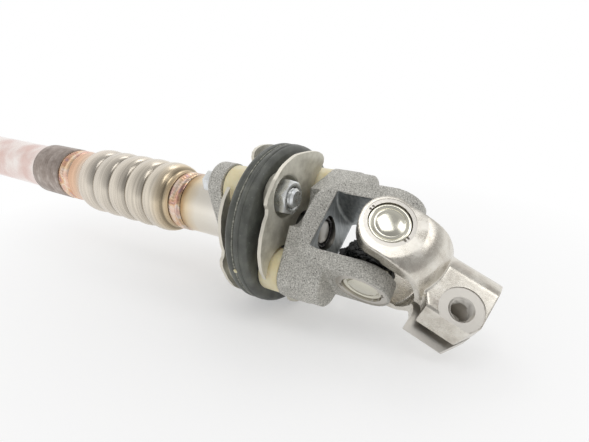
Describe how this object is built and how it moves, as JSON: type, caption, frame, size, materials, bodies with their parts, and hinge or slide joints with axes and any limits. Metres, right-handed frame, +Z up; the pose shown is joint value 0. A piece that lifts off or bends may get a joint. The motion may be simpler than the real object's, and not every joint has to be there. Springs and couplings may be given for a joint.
{
  "type": "steering shaft",
  "caption": "Steering intermediate shaft: splined stub, tube with crash bellows, rubber disc coupling between flange and yoke, and universal joint with a pinch clamp for the pinion.",
  "frame": {"origin": "centre of the column end's face", "axes": "+X along the shaft from the column end to the joint, +Z up as it lies, +Y to the left seen from the column end; the pinion clamp is bent down and to the left as in the picture"},
  "size_m": [0.3918, 0.0686, 0.0686],
  "materials": {
    "drawn_tube": "bright drawn steel",
    "turned_steel": "turned",
    "scaled_steel": "dark brown scale, satin",
    "heat_tinted_weld": "bright with straw, pink and blue heat tint",
    "bellows_steel": "bright formed steel",
    "blasted_forging": "grit blasted, rough",
    "plated_sheet": "dull plating",
    "plated_fastener": "zinc plated",
    "coupling_rubber": "moulded, matte",
    "greased_rubber": "greasy",
    "natural_nylon": "natural, cream",
    "bright_forging": "bright forging, satin",
    "drawn_cup": "polished",
    "ground_steel": "ground"
  },
  "bodies": {
    "shaft": {"column_stub": "turned_steel", "upper_tube": "drawn_tube", "collar_sleeve": "scaled_steel", "upper_weld": "heat_tinted_weld", "bellows_tube": "bellows_steel", "lower_weld": "heat_tinted_weld", "lower_tube": "drawn_tube", "shaft_flange": "blasted_forging", "centering_pin": "turned_steel", "coupling_rubber": "coupling_rubber", "yoke_side_plate": "plated_sheet", "shaft_upper_sleeve": "turned_steel", "shaft_lower_sleeve": "turned_steel", "shaft_upper_bush": "natural_nylon", "shaft_lower_bush": "natural_nylon", "shaft_upper_stud": "plated_fastener", "shaft_lower_stud": "plated_fastener", "shaft_upper_nut": "plated_fastener", "shaft_lower_nut": "plated_fastener"},
    "flange_yoke": {"flange_yoke": "blasted_forging", "centering_bush": "greased_rubber", "shaft_side_plate": "plated_sheet", "flange_cup_near": "drawn_cup", "flange_cup_far": "drawn_cup", "yoke_near_sleeve": "turned_steel", "yoke_far_sleeve": "turned_steel", "yoke_near_bush": "natural_nylon", "yoke_far_bush": "natural_nylon", "yoke_near_stud": "plated_fastener", "yoke_far_stud": "plated_fastener", "yoke_near_nut": "plated_fastener", "yoke_far_nut": "plated_fastener"},
    "cross": {"cross": "ground_steel", "flange_seal_near": "greased_rubber", "flange_seal_far": "greased_rubber", "clamp_seal_near": "greased_rubber", "clamp_seal_far": "greased_rubber"},
    "clamp_yoke": {"clamp_yoke": "bright_forging", "clamp_cup_near": "drawn_cup", "clamp_cup_far": "drawn_cup"}
  },
  "joints": [
    {"name": "coupling_twist", "type": "hinge", "parent": "shaft", "child": "flange_yoke", "pos_m": [0.2999, 0, 0], "axis": [1, 0, 0], "range_deg": [-3, 3], "stiffness_Nm_per_rad": 60, "deforming": ["coupling_rubber"]},
    {"name": "cross_swing", "type": "hinge", "parent": "flange_yoke", "child": "cross", "pos_m": [0.3462, 0, 0], "axis": [0, 0.8023, 0.5969], "range_deg": [-49.9, 6.1]},
    {"name": "clamp_swing", "type": "hinge", "parent": "cross", "child": "clamp_yoke", "pos_m": [0.3462, 0, 0], "axis": [0.373, -0.5538, 0.7444], "range_deg": [-18.2, 37.8]}
  ]
}
